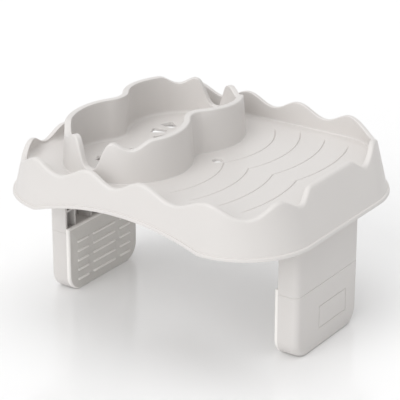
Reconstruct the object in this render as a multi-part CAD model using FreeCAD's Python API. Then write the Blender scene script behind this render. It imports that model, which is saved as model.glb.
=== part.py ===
import FreeCAD, Part
import math
import os
from FreeCAD import Vector

os.makedirs("parts", exist_ok=True)

# A tray that straddles the wall of a hot tub. Millimetres, +Z up, +X from the left leg to the right leg.
# The origin is on the floor, under the middle of the tray.

# Tray outline, measured at the foot of the skirt
TRAY_HALF_X = 206.8
TRAY_HALF_Y = 170.0
TRAY_CORNER = 92.0
# How far the wall leans in for each millimetre that it rises
LEAN_X = 0.35
LEAN_Y = 0.11
LEAN_CORNER = 0.30

# Tray heights and walls
SKIRT_FOOT_Z = 158.0
DECK_HEIGHT = 42.0
DECK_THICK = 4.0
SKIRT_WALL = 4.0
RIM_WALL = 7.0
WELL_FILLET = 5.0
BEAD_OUT = 2.5
BEAD_HEIGHT = 4.0

# Wavy rim: mean height over the deck, swing each way, the extra height of the back wall and the lower side walls
RIM_MEAN = 16.0
RIM_SWING = 7.0
RIM_ROUND = 3.2
RIM_INNER_ROUND = 1.6
BACK_RISE = 9.5
BACK_RISE_FROM_Y = 70.0
BACK_RISE_TO_Y = 150.0
SIDE_FALL = 4.2
SIDE_FALL_FROM_X = 30.0
SIDE_FALL_TO_X = 180.0
# The side walls have one long flat crest each, with a dip on both sides of it
SIDE_CREST_HALF = 43.0
CORNER_CREST_Y = 108.0
FRONT_CRESTS_X = (117.0, 24.0, -53.0, -134.0)
BACK_CRESTS_X = (120.0, 43.0, -33.0, -113.0)

# Arched lower edge of the front and back skirts
ARCH_CENTRE_X = -8.0
ARCH_HALF_SPAN = 119.0
ARCH_RISE = 20.0
ARCH_BLEND = 16.0

# Cup holder: two round wells that run into each other
HOLDER_X = -66.8
HOLDER_Y = -1.6
WELL_OFFSET_Y = 58.6
WELL_RADIUS_FOOT = 80.0
WELL_LEAN = 0.068
WAIST_BLEND = 20.0
HOLDER_WALL = 8.0
HOLDER_FLOOR_FILLET = 9.0
# Heights of the holder's rim over the deck: at the waist, at the shoulders, in the side scoops and on the
# horns beside the handle notches, with how far round the rim each lies from the end of the holder
HOLDER_HEIGHT = 55.2
SHOULDER_HEIGHT = 52.0
SHOULDER_FROM_END = 81.0
SCOOP_HEIGHT = 41.0
SCOOP_FROM_END = 52.0
HORN_HEIGHT = 49.5
HORN_FROM_END = 27.0
# Deep flared notch at each end for a mug's handle
NOTCH_FLOOR = 13.5
NOTCH_FLARE = 17.0
NOTCH_REACH = 32.0
NOTCH_RISE = 0.001
NOTCH_STEPS = 30

# Drain slots in each well and drain hole in the deck
PETALS_PER_WELL = 8
PETAL_INNER = 22.0
PETAL_OUTER = 41.0
PETAL_HALF_ANGLE = 12.5
PETAL_CORNER = 2.5
DRAIN_X = 24.0
DRAIN_RADIUS = 6.5

# Ripple grooves round the two wells
RIPPLES = 4
RIPPLE_FIRST_RADIUS = 117.0
RIPPLE_PITCH = 32.0
RIPPLE_HALF_WIDTH = 1.1
RIPPLE_DEPTH = 0.9
# How far each groove goes round its well, past the middle of the well, in degrees
RIPPLE_FRONT_ANGLES = (33.0, 28.5, 21.0, 18.0)
RIPPLE_BACK_ANGLES = (44.0, 37.5, 27.5, 22.0)

# Stiffening ribs under the deck
RIB_THICK = 2.5
RIB_DEPTH = 10.0
RIB_ROWS_Y = (13.0, 118.0)
RIB_DRAIN_CLEAR = 24.0

# Legs
LEG_SETBACK = 21.1
LEG_WIDTH = 144.0
LEG_THICK = 27.2
LEG_WALL = 3.0
LEG_SEAM_Z = 83.0
LEG_CORNER_PLAN = 12.0
LEG_CORNER_FOOT = 23.0
LEG_EDGE = 12.0
SEAM_CHAMFER = 0.5
FIT_GAP = 0.3

# Socket under the deck for each bracket
SOCKET_WALL = 2.5
SOCKET_DEPTH = 14.0
BOSS_RADIUS = 4.5
BOSS_LENGTH = 8.0

# Bracket
BRACKET_PLATE = 3.0
BRACKET_RIB = 2.5
BRACKET_BAYS = 4
BRACKET_RIB_SETBACK = 1.0
BRACKET_SHELF_Z = 110.0
TONGUE_DEPTH = 22.0
TONGUE_WALL = 3.0
TONGUE_FROM_END = 8.0
GUSSET_DEPTH = 12.0
LEG_BOSS_LENGTH = 11.0
LEG_SCREW_FROM_END = 34.0
LEG_SCREW_DROP = 11.0

# Outlined plain panel on the outside of each lower leg
PANEL_WIDTH = 64.0
PANEL_HEIGHT = 30.0
PANEL_SHIFT_Y = 10.5
PANEL_CENTRE_Z = 40.0
PANEL_LINE = 1.2
PANEL_LINE_DEPTH = 0.5
PANEL_CORNER = 2.0

# Grip pad with raised bars
PAD_THICK = 5.0
PAD_OVER_SEAM = 6.0
PAD_EDGE = 2.8
BAR_ROWS = 5
BAR_PITCH = 13.2
BAR_FIRST_Z = 14.3
BAR_WIDTH = 3.0
BAR_HEIGHT = 1.9
BAR_MIDDLE_HALF = 23.5
BAR_SIDE_FROM = 33.5
BAR_FROM_END = 16.0
PEG_RADIUS = 2.5
PEG_LENGTH = 7.0
PEG_FROM_END = 24.0
PEG_ROWS_Z = (22.0, 52.0)
PEG_BOSS_RADIUS = 5.0
PEG_CLEARANCE = 0.15

# Screws
SCREW_RADIUS = 2.0
SCREW_HEAD_RADIUS = 3.8
SCREW_HEAD = 2.6
SCREW_HOLE_CLEARANCE = 0.3
SCREW_BORE_CLEARANCE = 0.05
RECESS_WIDTH = 1.0
RECESS_LENGTH = 4.2
RECESS_DEPTH = 1.4
SCREW_BITE_SPARE = 0.5
LEG_SCREW_BITE = 9.0

LEG_OUTER_X = TRAY_HALF_X - LEG_SETBACK
# Ribs share out the bracket's width, with screws in the bays beside them
BRACKET_RIB_PITCH = (LEG_WIDTH - 2 * LEG_WALL) / BRACKET_BAYS
BOSS_ROWS_Y = tuple(row * BRACKET_RIB_PITCH for row in (-1.75, -1, 1, 1.75))
TONGUE_HALF_Y = LEG_WIDTH / 2 - TONGUE_FROM_END
LEG_SCREW_Y = LEG_WIDTH / 2 - LEG_SCREW_FROM_END
PEG_Y = LEG_WIDTH / 2 - PEG_FROM_END
BAR_SIDE_TO = LEG_WIDTH / 2 - BAR_FROM_END
DECK_TOP_Z = SKIRT_FOOT_Z + DECK_HEIGHT
DECK_UNDER_Z = DECK_TOP_Z - DECK_THICK
RIM_MEAN_Z = DECK_TOP_Z + RIM_MEAN
RIM_TOP_Z = RIM_MEAN_Z + RIM_SWING + BACK_RISE
CUT_MARGIN = 10.0
CUT_RISE = 80.0
# Sheets that shape the rims: points along one sheet, where the first starts, and offsets across the wall
CUT_STEPS = 16
CUT_START = 0.31
RIM_CUT_ACROSS = (-5.5, -4.2, -2.8, -1.4, 0, 1.4, 2.8, 4.5, 8, 13, 18)
HOLDER_CUT_ACROSS = (-5.5, -4.2, -2.8, -1.4, 0, 1.4, 2.8, 4.2, 6.5, 9)
UP = Vector(0, 0, 1)


def save(shape, node):
    shape.exportStep("parts/" + node + ".step")
    print(node, "solids", len(shape.Solids), "volume", round(shape.Volume), "valid", shape.isValid())


def box(low, high):
    size = Vector(*high) - Vector(*low)
    return Part.makeBox(size.x, size.y, size.z, Vector(*low))


def tray_half_sizes(z, inset):
    rise = z - SKIRT_FOOT_Z
    half_x = TRAY_HALF_X - LEAN_X * rise - inset
    half_y = TRAY_HALF_Y - LEAN_Y * rise - inset
    corner = TRAY_CORNER - LEAN_CORNER * rise - inset
    return half_x, half_y, corner


def rounded_rectangle(half_x, half_y, corner, z):
    """Closed wire of four lines and four arcs, anticlockwise from the right side."""
    edges = []
    flat_x = half_x - corner
    flat_y = half_y - corner
    middle = corner * math.sqrt(0.5)
    corners = [(1, 1), (-1, 1), (-1, -1), (1, -1)]
    starts = [(half_x, flat_y), (-flat_x, half_y), (-half_x, -flat_y), (flat_x, -half_y)]
    ends = [(flat_x, half_y), (-half_x, flat_y), (-flat_x, -half_y), (half_x, -flat_y)]
    for index, (sign_x, sign_y) in enumerate(corners):
        start = Vector(*starts[index], z)
        end = Vector(*ends[index], z)
        before = Vector(*ends[index - 1], z)
        bend = Vector(sign_x * (flat_x + middle), sign_y * (flat_y + middle), z)
        edges.append(Part.makeLine(before, start))
        edges.append(Part.Arc(start, bend, end).toShape())
    return Part.Wire(edges)


def tray_prism(low_z, high_z, inset):
    wires = [rounded_rectangle(*tray_half_sizes(z, inset), z) for z in (low_z, high_z)]
    return Part.makeLoft(wires, True, True)


def rim_path_lengths():
    """Half straight of a side wall, quarter corner and half straight of the front, at mean rim height."""
    half_x, half_y, corner = tray_half_sizes(RIM_MEAN_Z, 0)
    return half_y - corner, corner * math.pi / 2, half_x - corner


def rim_point(place, z, inset):
    """Point at a distance along the nominal rim, from the middle of the right wall towards the front."""
    side, bend, front = rim_path_lengths()
    half_x, half_y, corner = tray_half_sizes(z, inset)
    quarter = side + bend + front
    turn = int(place // quarter) % 4
    along = place % quarter
    if turn in (1, 3):
        along = quarter - along
    if along <= side:
        x = half_x
        y = along / side * (half_y - corner)
    elif along <= side + bend:
        angle = (along - side) / bend * math.pi / 2
        x = half_x - corner + corner * math.cos(angle)
        y = half_y - corner + corner * math.sin(angle)
    else:
        x = (quarter - along) / front * (half_x - corner)
        y = half_y
    sign_x = 1 if turn in (0, 3) else -1
    sign_y = -1 if turn in (0, 1) else 1
    return Vector(sign_x * x, sign_y * y, z)


def rim_crests():
    """Start and end of every crest along the rim; the side walls' crests are long and flat."""
    side, bend, front = rim_path_lengths()
    quarter = side + bend + front
    loop = 4 * quarter
    crests = [(-SIDE_CREST_HALF, SIDE_CREST_HALF)]
    crests.append((CORNER_CREST_Y, CORNER_CREST_Y))
    for x in FRONT_CRESTS_X:
        crests.append((quarter - x, quarter - x))
    crests.append((2 * quarter - CORNER_CREST_Y, 2 * quarter - CORNER_CREST_Y))
    crests.append((2 * quarter - SIDE_CREST_HALF, 2 * quarter + SIDE_CREST_HALF))
    crests.append((2 * quarter + CORNER_CREST_Y, 2 * quarter + CORNER_CREST_Y))
    for x in reversed(BACK_CRESTS_X):
        crests.append((3 * quarter + x, 3 * quarter + x))
    crests.append((loop - CORNER_CREST_Y, loop - CORNER_CREST_Y))
    crests.append((loop - SIDE_CREST_HALF, loop + SIDE_CREST_HALF))
    return crests


RIM_CRESTS = rim_crests()


def smooth_share(value, start, end):
    """0 up to the start and 1 from the end, with a smooth change between them."""
    share = min(max((value - start) / (end - start), 0), 1)
    return share * share * (3 - 2 * share)


def rim_height(place):
    wave = 1.0
    for before, after in zip(RIM_CRESTS, RIM_CRESTS[1:]):
        start = before[1]
        end = after[0]
        if start < place < end:
            wave = math.cos(2 * math.pi * (place - start) / (end - start))
    at = rim_point(place, RIM_MEAN_Z, 0)
    rise = BACK_RISE * smooth_share(at.y, BACK_RISE_FROM_Y, BACK_RISE_TO_Y)
    fall = SIDE_FALL * smooth_share(abs(at.x), SIDE_FALL_FROM_X, SIDE_FALL_TO_X)
    return RIM_MEAN_Z + RIM_SWING * wave + rise - fall


def round_top_drop(across, half_width):
    """How far a rounded rim has fallen at a distance from its middle line; outwards is negative."""
    share = across / half_width
    if share < 0:
        return RIM_ROUND * abs(share) ** 2.2
    return RIM_INNER_ROUND * share ** 2 / (share ** 2 + 1)


def cutter_above(rows):
    """Solid above a smooth sheet that follows rows of points."""
    lines = (len(rows), len(rows[0]))
    knots = [list(range(count - 2)) for count in lines]
    repeats = [[4] + [1] * (count - 4) + [4] for count in lines]
    sheet = Part.BSplineSurface()
    sheet.buildFromPolesMultsKnots(rows, repeats[0], repeats[1], knots[0], knots[1], False, False, 3, 3)
    return sheet.toShape().extrude(UP * CUT_RISE)


def rim_cutter(turn):
    """Everything above one eighth of the wavy, rounded rim."""
    quarter = sum(rim_path_lengths())
    half = RIM_WALL / 2
    rows = []
    for step in range(CUT_STEPS + 1):
        place = quarter * (CUT_START + (turn + step / CUT_STEPS) / 2) % (4 * quarter)
        z = rim_height(place)
        row = []
        for offset in RIM_CUT_ACROSS:
            row.append(rim_point(place, z, half + offset) - UP * round_top_drop(offset, half))
        rows.append(row)
    return cutter_above(rows)


def arch_profile(raise_by, low_z):
    """Solid under the arched lower edge, right through from front to back."""
    radius = (ARCH_HALF_SPAN ** 2 + ARCH_RISE ** 2) / (2 * ARCH_RISE)
    edge_z = SKIRT_FOOT_Z + raise_by
    far_x = TRAY_HALF_X + 2 * CUT_MARGIN
    depth = TRAY_HALF_Y + 2 * CUT_MARGIN
    left = Vector(ARCH_CENTRE_X - ARCH_HALF_SPAN, -depth, edge_z)
    top = Vector(ARCH_CENTRE_X, -depth, edge_z + ARCH_RISE)
    right = Vector(ARCH_CENTRE_X + ARCH_HALF_SPAN, -depth, edge_z)
    far_left = Vector(-far_x, -depth, edge_z)
    far_right = Vector(far_x, -depth, edge_z)
    low_right = Vector(far_x, -depth, low_z)
    low_left = Vector(-far_x, -depth, low_z)
    edges = [Part.makeLine(far_left, left), Part.Arc(left, top, right).toShape(), Part.makeLine(right, far_right)]
    edges += [Part.makeLine(far_right, low_right), Part.makeLine(low_right, low_left)]
    edges.append(Part.makeLine(low_left, far_left))
    solid = Part.Face(Part.Wire(edges)).extrude(Vector(0, 2 * depth, 0))
    kinks = []
    for edge in solid.Edges:
        middle = edge.CenterOfMass
        at_end = abs(abs(middle.x - ARCH_CENTRE_X) - ARCH_HALF_SPAN) < 0.01
        if at_end and abs(middle.z - edge_z) < 0.01 and abs(middle.y) < 0.01:
            kinks.append(edge)
    return solid.makeFillet(ARCH_BLEND, kinks)


def well_radius(z):
    return WELL_RADIUS_FOOT - WELL_LEAN * (z - DECK_TOP_Z)


def holder_wire(z, inset):
    """Outline of the two wells: two large arcs joined by two waist blends."""
    foot_reach = WELL_RADIUS_FOOT + WAIST_BLEND
    waist_x = math.sqrt(foot_reach ** 2 - WELL_OFFSET_Y ** 2)
    radius = well_radius(z) - inset
    blend = foot_reach - radius
    joint = Vector(waist_x * radius / foot_reach, WELL_OFFSET_Y * (1 - radius / foot_reach), 0)
    middle = Vector(HOLDER_X, HOLDER_Y, z)
    corners = {}
    for sign_x in (1, -1):
        for sign_y in (1, -1):
            corners[sign_x, sign_y] = middle + Vector(sign_x * joint.x, sign_y * joint.y, 0)
    far = WELL_OFFSET_Y + radius
    waist = waist_x - blend
    edges = [
        Part.Arc(corners[1, 1], middle + Vector(0, far, 0), corners[-1, 1]).toShape(),
        Part.Arc(corners[-1, 1], middle + Vector(-waist, 0, 0), corners[-1, -1]).toShape(),
        Part.Arc(corners[-1, -1], middle + Vector(0, -far, 0), corners[1, -1]).toShape(),
        Part.Arc(corners[1, -1], middle + Vector(waist, 0, 0), corners[1, 1]).toShape(),
    ]
    return Part.Wire(edges)


def holder_prism(low_z, high_z, inset):
    return Part.makeLoft([holder_wire(low_z, inset), holder_wire(high_z, inset)], True, True)


def edges_at_height(shape, z):
    return [edge for edge in shape.Edges if abs(edge.BoundBox.ZMin - z) < 0.01 and abs(edge.BoundBox.ZMax - z) < 0.01]


def holder_path():
    """Length of the rim's arc from the end of a well to the waist, and of the waist's own arc."""
    reach = WELL_RADIUS_FOOT + WAIST_BLEND
    radius = well_radius(DECK_TOP_Z + HOLDER_HEIGHT)
    waist_angle = math.asin(WELL_OFFSET_Y / reach)
    return radius * (math.pi / 2 + waist_angle), 2 * waist_angle * (reach - radius), waist_angle


def holder_point(place, side, z, inset):
    """Point at a distance along the nominal holder rim from its front end, down one side (1 or -1)."""
    arc, waist, waist_angle = holder_path()
    reach = WELL_RADIUS_FOOT + WAIST_BLEND
    radius = well_radius(z) - inset
    if place < arc or place > arc + waist:
        from_end = place if place < arc else 2 * arc + waist - place
        end = -1 if place < arc else 1
        angle = from_end / arc * (math.pi / 2 + waist_angle)
        x = radius * math.sin(angle)
        y = end * (WELL_OFFSET_Y + radius * math.cos(angle))
    else:
        angle = waist_angle * (2 * (place - arc) / waist - 1)
        blend = reach - radius
        x = math.sqrt(reach ** 2 - WELL_OFFSET_Y ** 2) - blend * math.cos(angle)
        y = blend * math.sin(angle)
    return Vector(HOLDER_X + side * x, HOLDER_Y + y, z)


def holder_rim_height(place):
    """Height of the holder's rim: smooth swings from horn to scoop, to shoulder and up to the waist."""
    arc, waist, _ = holder_path()
    half = arc + waist / 2
    from_end = min(place, 2 * half - place)
    stations = [(0, HORN_HEIGHT), (HORN_FROM_END, HORN_HEIGHT), (SCOOP_FROM_END, SCOOP_HEIGHT)]
    stations += [(SHOULDER_FROM_END, SHOULDER_HEIGHT), (half, HOLDER_HEIGHT)]
    height = HORN_HEIGHT
    for (start, low), (end, high) in zip(stations, stations[1:]):
        if from_end >= start:
            share = (from_end - start) / (end - start)
            height = low + (high - low) * (1 - math.cos(math.pi * share)) / 2
    return DECK_TOP_Z + height


def holder_rim_cutter(side, part):
    """Everything above a quarter of one side of the holder's rounded rim."""
    half = HOLDER_WALL / 2
    arc, waist, _ = holder_path()
    start = NOTCH_FLARE / 2
    length = 2 * arc + waist - 2 * start
    rows = []
    for step in range(CUT_STEPS + 1):
        place = start + length * (part + step / CUT_STEPS) / 4
        z = holder_rim_height(place)
        row = []
        for offset in HOLDER_CUT_ACROSS:
            row.append(holder_point(place, side, z, half + offset) - UP * round_top_drop(offset, half))
        rows.append(row)
    return cutter_above(rows)


def notch_height(from_middle):
    """Height of a handle notch's flared edge over its floor."""
    depth = HORN_HEIGHT - NOTCH_FLOOR
    flare = 1 - math.exp(-(abs(from_middle) / NOTCH_FLARE) ** 3)
    return depth * flare + NOTCH_RISE * from_middle ** 2


def handle_notch():
    """Flared U-shaped cutter through both ends of the holder."""
    reach_y = WELL_OFFSET_Y + WELL_RADIUS_FOOT + CUT_MARGIN
    floor_z = DECK_TOP_Z + NOTCH_FLOOR
    over_z = DECK_TOP_Z + HOLDER_HEIGHT + CUT_MARGIN
    points = []
    for step in range(NOTCH_STEPS + 1):
        away = NOTCH_REACH * (2 * step / NOTCH_STEPS - 1)
        points.append(Vector(HOLDER_X + away, HOLDER_Y - reach_y, floor_z + notch_height(away)))
    flared = Part.BSplineCurve()
    flared.interpolate(points)
    left_top = Vector(points[0].x, points[0].y, over_z)
    right_top = Vector(points[-1].x, points[-1].y, over_z)
    edges = [flared.toShape(), Part.makeLine(points[-1], right_top), Part.makeLine(right_top, left_top)]
    edges.append(Part.makeLine(left_top, points[0]))
    return Part.Face(Part.Wire(edges)).extrude(Vector(0, 2 * reach_y, 0))


def petal(centre_y, angle):
    """One drain slot: a sector of a ring with rounded corners."""
    half = math.radians(PETAL_HALF_ANGLE)
    low_z = DECK_UNDER_Z - CUT_MARGIN

    def at(radius, turn):
        return Vector(radius * math.cos(turn), radius * math.sin(turn), low_z)

    edges = [
        Part.Arc(at(PETAL_INNER, -half), at(PETAL_INNER, 0), at(PETAL_INNER, half)).toShape(),
        Part.makeLine(at(PETAL_INNER, half), at(PETAL_OUTER, half)),
        Part.Arc(at(PETAL_OUTER, half), at(PETAL_OUTER, 0), at(PETAL_OUTER, -half)).toShape(),
        Part.makeLine(at(PETAL_OUTER, -half), at(PETAL_INNER, -half)),
    ]
    prism = Part.Face(Part.Wire(edges)).extrude(UP * (DECK_THICK + 2 * CUT_MARGIN))
    upright = [edge for edge in prism.Edges if abs(edge.tangentAt(edge.FirstParameter).z) > 0.99]
    prism = prism.makeFillet(PETAL_CORNER, upright)
    prism.rotate(Vector(0, 0, 0), UP, angle)
    prism.translate(Vector(HOLDER_X, HOLDER_Y + centre_y, 0))
    return prism


def ripple(index, end):
    """Shallow groove on one side of the waist, concentric with one well."""
    radius = RIPPLE_FIRST_RADIUS + index * RIPPLE_PITCH
    tube = (RIPPLE_HALF_WIDTH ** 2 + RIPPLE_DEPTH ** 2) / (2 * RIPPLE_DEPTH)
    waist_angle = math.degrees(math.asin(WELL_OFFSET_Y / radius))
    end_angle = RIPPLE_BACK_ANGLES[index] if end > 0 else RIPPLE_FRONT_ANGLES[index]
    section = Part.Wire(Part.makeCircle(tube, Vector(radius, 0, DECK_TOP_Z + tube - RIPPLE_DEPTH), Vector(0, 1, 0)))
    sweep = Part.Face(section).revolve(Vector(0, 0, 0), UP, waist_angle + end_angle)
    if end > 0:
        sweep.rotate(Vector(0, 0, 0), UP, -waist_angle)
    else:
        sweep.rotate(Vector(0, 0, 0), UP, -end_angle)
    sweep.translate(Vector(HOLDER_X, HOLDER_Y + end * WELL_OFFSET_Y, 0))
    return sweep


def leg_inner_x():
    return -LEG_OUTER_X + LEG_THICK


def leg_middle_x():
    return -LEG_OUTER_X + LEG_THICK / 2


def turned(shape):
    """The same moulding turned half round, for the other side of the tray."""
    other = shape.copy()
    other.rotate(Vector(0, 0, 0), UP, 180)
    return other


def leg_plan(inset, low_z, high_z):
    """Upright block with the plan of a leg: rounded on its outer side, square on its inner side."""
    half = LEG_WIDTH / 2 - inset
    low = (-LEG_OUTER_X + inset, -half, low_z)
    high = (leg_inner_x() - inset, half, high_z)
    block = box(low, high)
    outer = []
    for edge in block.Edges:
        middle = edge.CenterOfMass
        upright = edge.BoundBox.ZLength > edge.BoundBox.XLength + edge.BoundBox.YLength
        if upright and abs(middle.x - low[0]) < 0.01:
            outer.append(edge)
    return block.makeFillet(max(LEG_CORNER_PLAN - inset, 1.0), outer)


def leg_hollow(low_z, high_z):
    """Room inside a leg's walls, open on the inner side."""
    inner = leg_inner_x()
    half = LEG_WIDTH / 2 - LEG_WALL
    opening = box((inner - 2 * LEG_WALL, -half, low_z), (inner + 1, half, high_z))
    return leg_plan(LEG_WALL, low_z, high_z).fuse(opening).removeSplitter()


def socket(side):
    """Collar, screw bosses and bores that hold one bracket under the deck, in the left place."""
    low_z = DECK_UNDER_Z - SOCKET_DEPTH
    outside = leg_plan(-(FIT_GAP + SOCKET_WALL), low_z, DECK_UNDER_Z + 1)
    inside = leg_plan(-FIT_GAP, low_z - 1, DECK_UNDER_Z)
    collar = outside.cut(inside)
    bosses = []
    for y in BOSS_ROWS_Y:
        foot = Vector(leg_middle_x(), y, DECK_UNDER_Z - BOSS_LENGTH)
        bosses.append(Part.makeCylinder(BOSS_RADIUS, BOSS_LENGTH + 1, foot))
    whole = collar.multiFuse(bosses)
    return whole if side == "left" else turned(whole)


def socket_bores(side):
    bores = []
    for y in BOSS_ROWS_Y:
        foot = Vector(leg_middle_x(), y, DECK_UNDER_Z - BOSS_LENGTH - 1)
        bores.append(Part.makeCylinder(SCREW_RADIUS + SCREW_BORE_CLEARANCE, BOSS_LENGTH + 1.5, foot))
    whole = bores[0].multiFuse(bores[1:])
    return whole if side == "left" else turned(whole)


def deck_ribs():
    """Long ribs under the deck, from one leg socket to the other, kept clear of the drain hole."""
    reach = -leg_inner_x() - FIT_GAP - SOCKET_WALL / 2
    ribs = []
    for row in RIB_ROWS_Y:
        for y in (row, -row):
            low = (-reach, y - RIB_THICK / 2, DECK_UNDER_Z - RIB_DEPTH)
            high = (reach, y + RIB_THICK / 2, DECK_UNDER_Z + 1)
            ribs.append(box(low, high))
    clear = Part.makeCylinder(RIB_DRAIN_CLEAR, RIB_DEPTH + 1, Vector(DRAIN_X, 0, DECK_UNDER_Z - RIB_DEPTH - 1))
    return [rib.cut(clear) for rib in ribs]


def make_tray():
    top_z = RIM_TOP_Z + CUT_MARGIN
    shell = tray_prism(SKIRT_FOOT_Z, top_z, 0)
    beads = tray_prism(SKIRT_FOOT_Z, DECK_UNDER_Z, -BEAD_OUT).cut(arch_profile(0, SKIRT_FOOT_Z - CUT_MARGIN))
    beads = beads.common(arch_profile(BEAD_HEIGHT, SKIRT_FOOT_Z - 2 * CUT_MARGIN))
    shell = shell.fuse(beads)
    well = tray_prism(DECK_TOP_Z, top_z + 1, RIM_WALL)
    well = well.makeFillet(WELL_FILLET, edges_at_height(well, DECK_TOP_Z))
    shell = shell.cut(well)
    shell = shell.cut(tray_prism(SKIRT_FOOT_Z - 1, DECK_UNDER_Z, SKIRT_WALL))
    shell = shell.cut(arch_profile(0, SKIRT_FOOT_Z - CUT_MARGIN))
    for turn in range(8):
        shell = shell.cut(rim_cutter(turn))
    holder = holder_prism(DECK_TOP_Z - 1, DECK_TOP_Z + HOLDER_HEIGHT + CUT_MARGIN, 0)
    hollow = holder_prism(DECK_TOP_Z, DECK_TOP_Z + HOLDER_HEIGHT + 2 * CUT_MARGIN, HOLDER_WALL)
    hollow = hollow.makeFillet(HOLDER_FLOOR_FILLET, edges_at_height(hollow, DECK_TOP_Z))
    ring = holder.cut(hollow)
    for side in (1, -1):
        for part in range(4):
            ring = ring.cut(holder_rim_cutter(side, part))
    ring = ring.cut(handle_notch())
    under = deck_ribs() + [socket("left"), socket("right")]
    tray = shell.multiFuse([ring] + under)
    cuts = [Part.makeCylinder(DRAIN_RADIUS, DECK_THICK + 2, Vector(DRAIN_X, 0, DECK_UNDER_Z - 1))]
    cuts += [socket_bores("left"), socket_bores("right")]
    for end in (1, -1):
        for index in range(PETALS_PER_WELL):
            cuts.append(petal(end * WELL_OFFSET_Y, (index + 0.5) * 360 / PETALS_PER_WELL))
        for index in range(RIPPLES):
            cuts.append(ripple(index, end))
    return tray.cut(cuts)


def along_x(shape, x):
    """Shape drawn in the YZ plane at x = 0 from a plan in XY: its x becomes y and its y becomes z."""
    placed = shape.copy()
    placed.rotate(Vector(0, 0, 0), Vector(1, 1, 1), 120)
    placed.translate(Vector(x, 0, 0))
    return placed


def foot_shape(low_x, high_x, top_z, inset):
    """Block across X whose two lower corners are well rounded."""
    half = LEG_WIDTH / 2 - inset
    block = box((low_x, -half, inset), (high_x, half, top_z))
    lower = []
    for edge in block.Edges:
        middle = edge.CenterOfMass
        if edge.BoundBox.XLength > 0.9 * (high_x - low_x) and abs(middle.z - inset) < 0.01:
            lower.append(edge)
    return block.makeFillet(LEG_CORNER_FOOT - inset, lower)


def tongue_x():
    """Where the tongue starts: against the ends of the lower leg's screw bosses."""
    return -LEG_OUTER_X + LEG_WALL + LEG_BOSS_LENGTH


def chamfered_at(shape, z):
    """Shape with its outer edges at one height chamfered for a visible seam."""
    outer = []
    for edge in edges_at_height(shape, z):
        box_of = edge.BoundBox
        on_outside = box_of.XMin < -LEG_OUTER_X + LEG_CORNER_PLAN + 0.1 or box_of.YLength < 0.1
        on_rim = abs(box_of.YMax) > LEG_WIDTH / 2 - LEG_CORNER_PLAN - 0.1 or box_of.XMax < -LEG_OUTER_X + 0.1
        if on_outside and on_rim:
            outer.append(edge)
    return shape.makeChamfer(SEAM_CHAMFER, outer)


def make_bracket():
    plate_top = DECK_UNDER_Z - BOSS_LENGTH
    body = leg_plan(0, LEG_SEAM_Z, plate_top)
    body = chamfered_at(body, LEG_SEAM_Z)
    back = -LEG_OUTER_X + LEG_WALL
    inner = leg_inner_x()
    half = LEG_WIDTH / 2 - LEG_WALL
    low_z = LEG_SEAM_Z + BRACKET_PLATE
    high_z = plate_top - BRACKET_PLATE
    body = body.cut(leg_hollow(low_z, high_z))
    adds = []
    for row in (-1.5, -0.5, 0.5, 1.5):
        y = row * BRACKET_RIB_PITCH
        low = (back - 1, y - BRACKET_RIB / 2, low_z - 1)
        adds.append(box(low, (inner - BRACKET_RIB_SETBACK, y + BRACKET_RIB / 2, high_z + 1)))
    shelf_low = (back - 1, -half - 1, BRACKET_SHELF_Z)
    shelf_high = (inner - BRACKET_RIB_SETBACK, -1.5 * BRACKET_RIB_PITCH, BRACKET_SHELF_Z + BRACKET_RIB)
    adds.append(box(shelf_low, shelf_high))
    plate_x = tongue_x()
    tongue_low = (plate_x, -TONGUE_HALF_Y, LEG_SEAM_Z - TONGUE_DEPTH)
    adds.append(box(tongue_low, (plate_x + TONGUE_WALL, TONGUE_HALF_Y, LEG_SEAM_Z + 1)))
    for row in (-0.5, 0.5):
        y = row * BRACKET_RIB_PITCH
        low = (plate_x, y - BRACKET_RIB / 2, LEG_SEAM_Z - GUSSET_DEPTH)
        adds.append(box(low, (inner - 2 * BRACKET_RIB_SETBACK, y + BRACKET_RIB / 2, LEG_SEAM_Z + 1)))
    body = body.multiFuse(adds).removeSplitter()
    holes = []
    radius = SCREW_RADIUS + SCREW_HOLE_CLEARANCE
    for y in BOSS_ROWS_Y:
        holes.append(Part.makeCylinder(radius, BRACKET_PLATE + 2, Vector(leg_middle_x(), y, high_z - 1)))
    for y in (-LEG_SCREW_Y, LEG_SCREW_Y):
        at = Vector(plate_x - 1, y, LEG_SEAM_Z - LEG_SCREW_DROP)
        holes.append(Part.makeCylinder(radius, TONGUE_WALL + 2, at, Vector(1, 0, 0)))
    return body.cut(holes)


def panel_line():
    """Ring cut just into the outer face, round a plain panel."""
    rings = []
    for inset in (0, PANEL_LINE):
        half_y = PANEL_WIDTH / 2 - inset
        half_z = PANEL_HEIGHT / 2 - inset
        wire = rounded_rectangle(half_y, half_z, PANEL_CORNER - inset / 2, 0)
        rings.append(Part.Face(wire).extrude(UP * 2 * PANEL_LINE_DEPTH))
    ring = along_x(rings[0].cut(rings[1]), -LEG_OUTER_X - PANEL_LINE_DEPTH)
    ring.translate(Vector(0, -PANEL_SHIFT_Y, PANEL_CENTRE_Z))
    return ring


def rounded_sole(inset):
    """Block as wide as a leg, whose outer lower edge is rounded."""
    half = LEG_WIDTH / 2 + 1
    block = box((-LEG_OUTER_X + inset, -half, inset), (leg_inner_x() + 2, half, LEG_SEAM_Z + inset))
    sole = []
    for edge in block.Edges:
        middle = edge.CenterOfMass
        if abs(middle.x + LEG_OUTER_X - inset) < 0.01 and abs(middle.z - inset) < 0.01:
            sole.append(edge)
    return block.makeFillet(LEG_EDGE - inset, sole)


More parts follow.
